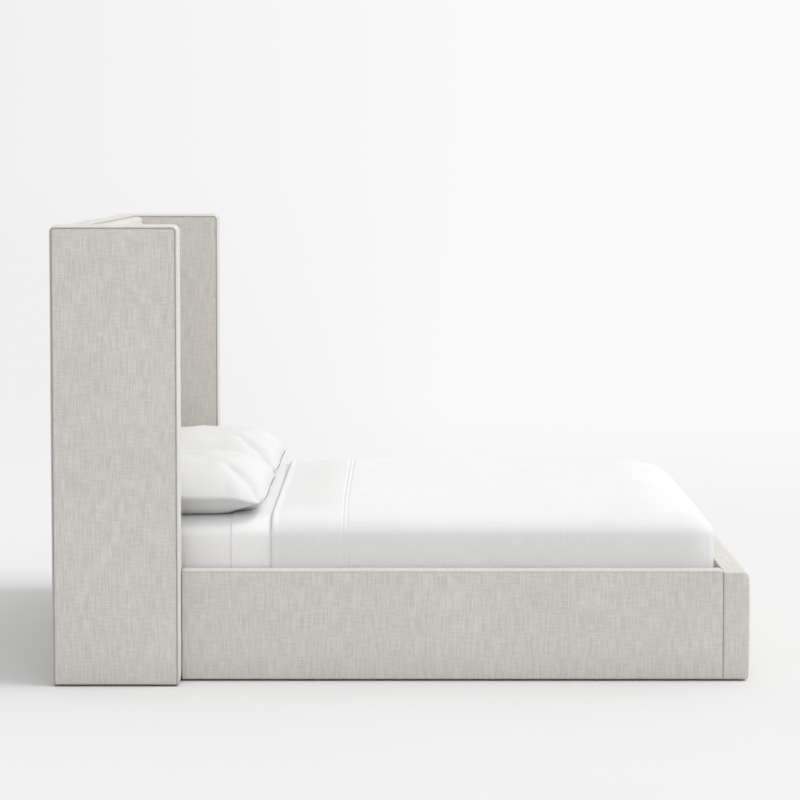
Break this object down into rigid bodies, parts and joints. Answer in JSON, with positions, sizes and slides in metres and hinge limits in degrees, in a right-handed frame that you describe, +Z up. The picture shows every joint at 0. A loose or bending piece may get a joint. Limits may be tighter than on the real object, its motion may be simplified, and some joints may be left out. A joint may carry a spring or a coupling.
{
  "type": "upholstered headboard bed",
  "caption": "Tall upholstered winged headboard bed with padded rails and footboard, slatted base, levelling centre legs, mattress and white bedding.",
  "frame": {"origin": "on the floor, at the middle of the bed's length and width", "axes": "+X from head to foot, +Z up, so that +Y is to the right of someone standing at the foot and facing the headboard"},
  "size_m": [2.2608, 1.86, 1.4849],
  "materials": {
    "linen_weave": "matte",
    "linen_back": "matte",
    "seat_foam": "matte",
    "plywood": "matte",
    "slat_wood": "satin",
    "frame_timber": "matte",
    "zinc_steel": "satin",
    "black_plastic": "matte",
    "strap_webbing": "matte",
    "mattress_ticking": "matte",
    "cotton_sheet": "matte",
    "cotton_duvet": "matte",
    "cotton_pillow": "matte"
  },
  "bodies": {
    "bed_frame": {"headboard_posts": "frame_timber", "headboard_rails": "frame_timber", "headboard_board": "plywood", "headboard_foam": "seat_foam", "headboard_front_cover": "linen_weave", "headboard_top_strip": "linen_weave", "headboard_back_cover": "linen_back", "wing_stiles_left": "frame_timber", "wing_stiles_right": "frame_timber", "wing_cross_rails_left": "frame_timber", "wing_cross_rails_right": "frame_timber", "wing_skins_left": "plywood", "wing_skins_right": "plywood", "wing_foam_left": "seat_foam", "wing_foam_right": "seat_foam", "wing_outer_cover_left": "linen_weave", "wing_outer_cover_right": "linen_weave", "wing_inner_cover_left": "linen_weave", "wing_inner_cover_right": "linen_weave", "wing_border_left": "linen_weave", "wing_border_right": "linen_weave", "wing_bolts": "zinc_steel", "rail_board_left": "frame_timber", "rail_board_right": "frame_timber", "rail_foam_left": "seat_foam", "rail_foam_right": "seat_foam", "rail_outer_cover_left": "linen_weave", "rail_outer_cover_right": "linen_weave", "rail_top_cover_left": "linen_weave", "rail_top_cover_right": "linen_weave", "rail_ledger_left": "frame_timber", "rail_ledger_right": "frame_timber", "rail_bolts": "zinc_steel", "footboard_board": "frame_timber", "footboard_foam": "seat_foam", "footboard_cover": "linen_weave", "corner_brackets": "zinc_steel", "bracket_screws": "zinc_steel", "centre_beam": "frame_timber", "beam_hangers": "zinc_steel", "centre_legs": "zinc_steel", "leg_plugs": "black_plastic", "floor_glides": "black_plastic"},
    "slat_deck": {"slats": "slat_wood", "slat_straps": "strap_webbing"},
    "mattress_unit": {"mattress": "mattress_ticking", "fitted_sheet": "cotton_sheet"},
    "bed_covers": {"flat_sheet": "cotton_sheet", "duvet": "cotton_duvet"},
    "pillow_unit_left": {"pillow_left": "cotton_pillow"},
    "pillow_unit_right": {"pillow_right": "cotton_pillow"},
    "leveller_foot_head": {"leveller_pad_head": "black_plastic"},
    "leveller_screw_head": {"leveller_stud_head": "zinc_steel"},
    "leveller_foot_middle": {"leveller_pad_middle": "black_plastic"},
    "leveller_screw_middle": {"leveller_stud_middle": "zinc_steel"},
    "leveller_foot_foot": {"leveller_pad_foot": "black_plastic"},
    "leveller_screw_foot": {"leveller_stud_foot": "zinc_steel"}
  },
  "joints": [
    {"name": "slat_deck_lift", "type": "slide", "parent": "bed_frame", "child": "slat_deck", "axis": [0, 0, 1], "range_m": [0, 0.2]},
    {"name": "mattress_lift", "type": "slide", "parent": "slat_deck", "child": "mattress_unit", "axis": [0, 0, 1], "range_m": [0, 0.3]},
    {"name": "covers_lift", "type": "slide", "parent": "mattress_unit", "child": "bed_covers", "axis": [0, 0, 1], "range_m": [0, 0.26]},
    {"name": "pillow_left_lift", "type": "slide", "parent": "bed_covers", "child": "pillow_unit_left", "axis": [0, 0, 1], "range_m": [0, 0.25]},
    {"name": "pillow_right_lift", "type": "slide", "parent": "bed_covers", "child": "pillow_unit_right", "axis": [0, 0, 1], "range_m": [0, 0.25]},
    {"name": "leveller_height_head", "type": "slide", "parent": "bed_frame", "child": "leveller_foot_head", "axis": [0, 0, 1], "range_m": [0, 0.0121]},
    {"name": "leveller_turn_head", "type": "hinge", "parent": "leveller_foot_head", "child": "leveller_screw_head", "pos_m": [-0.525, 0, 0.02], "axis": [0, 0, 1], "range_deg": [0, 2880]},
    {"name": "leveller_height_middle", "type": "slide", "parent": "bed_frame", "child": "leveller_foot_middle", "axis": [0, 0, 1], "range_m": [0, 0.0121]},
    {"name": "leveller_turn_middle", "type": "hinge", "parent": "leveller_foot_middle", "child": "leveller_screw_middle", "pos_m": [-0.0035, 0, 0.02], "axis": [0, 0, 1], "range_deg": [0, 2880]},
    {"name": "leveller_height_foot", "type": "slide", "parent": "bed_frame", "child": "leveller_foot_foot", "axis": [0, 0, 1], "range_m": [0, 0.0121]},
    {"name": "leveller_turn_foot", "type": "hinge", "parent": "leveller_foot_foot", "child": "leveller_screw_foot", "pos_m": [0.518, 0, 0.02], "axis": [0, 0, 1], "range_deg": [0, 2880]}
  ],
  "couplings": [
    {"joint": "leveller_height_head", "follows": "leveller_turn_head", "m_per_rad": 0.00023873},
    {"joint": "leveller_height_middle", "follows": "leveller_turn_middle", "m_per_rad": 0.00023873},
    {"joint": "leveller_height_foot", "follows": "leveller_turn_foot", "m_per_rad": 0.00023873}
  ]
}
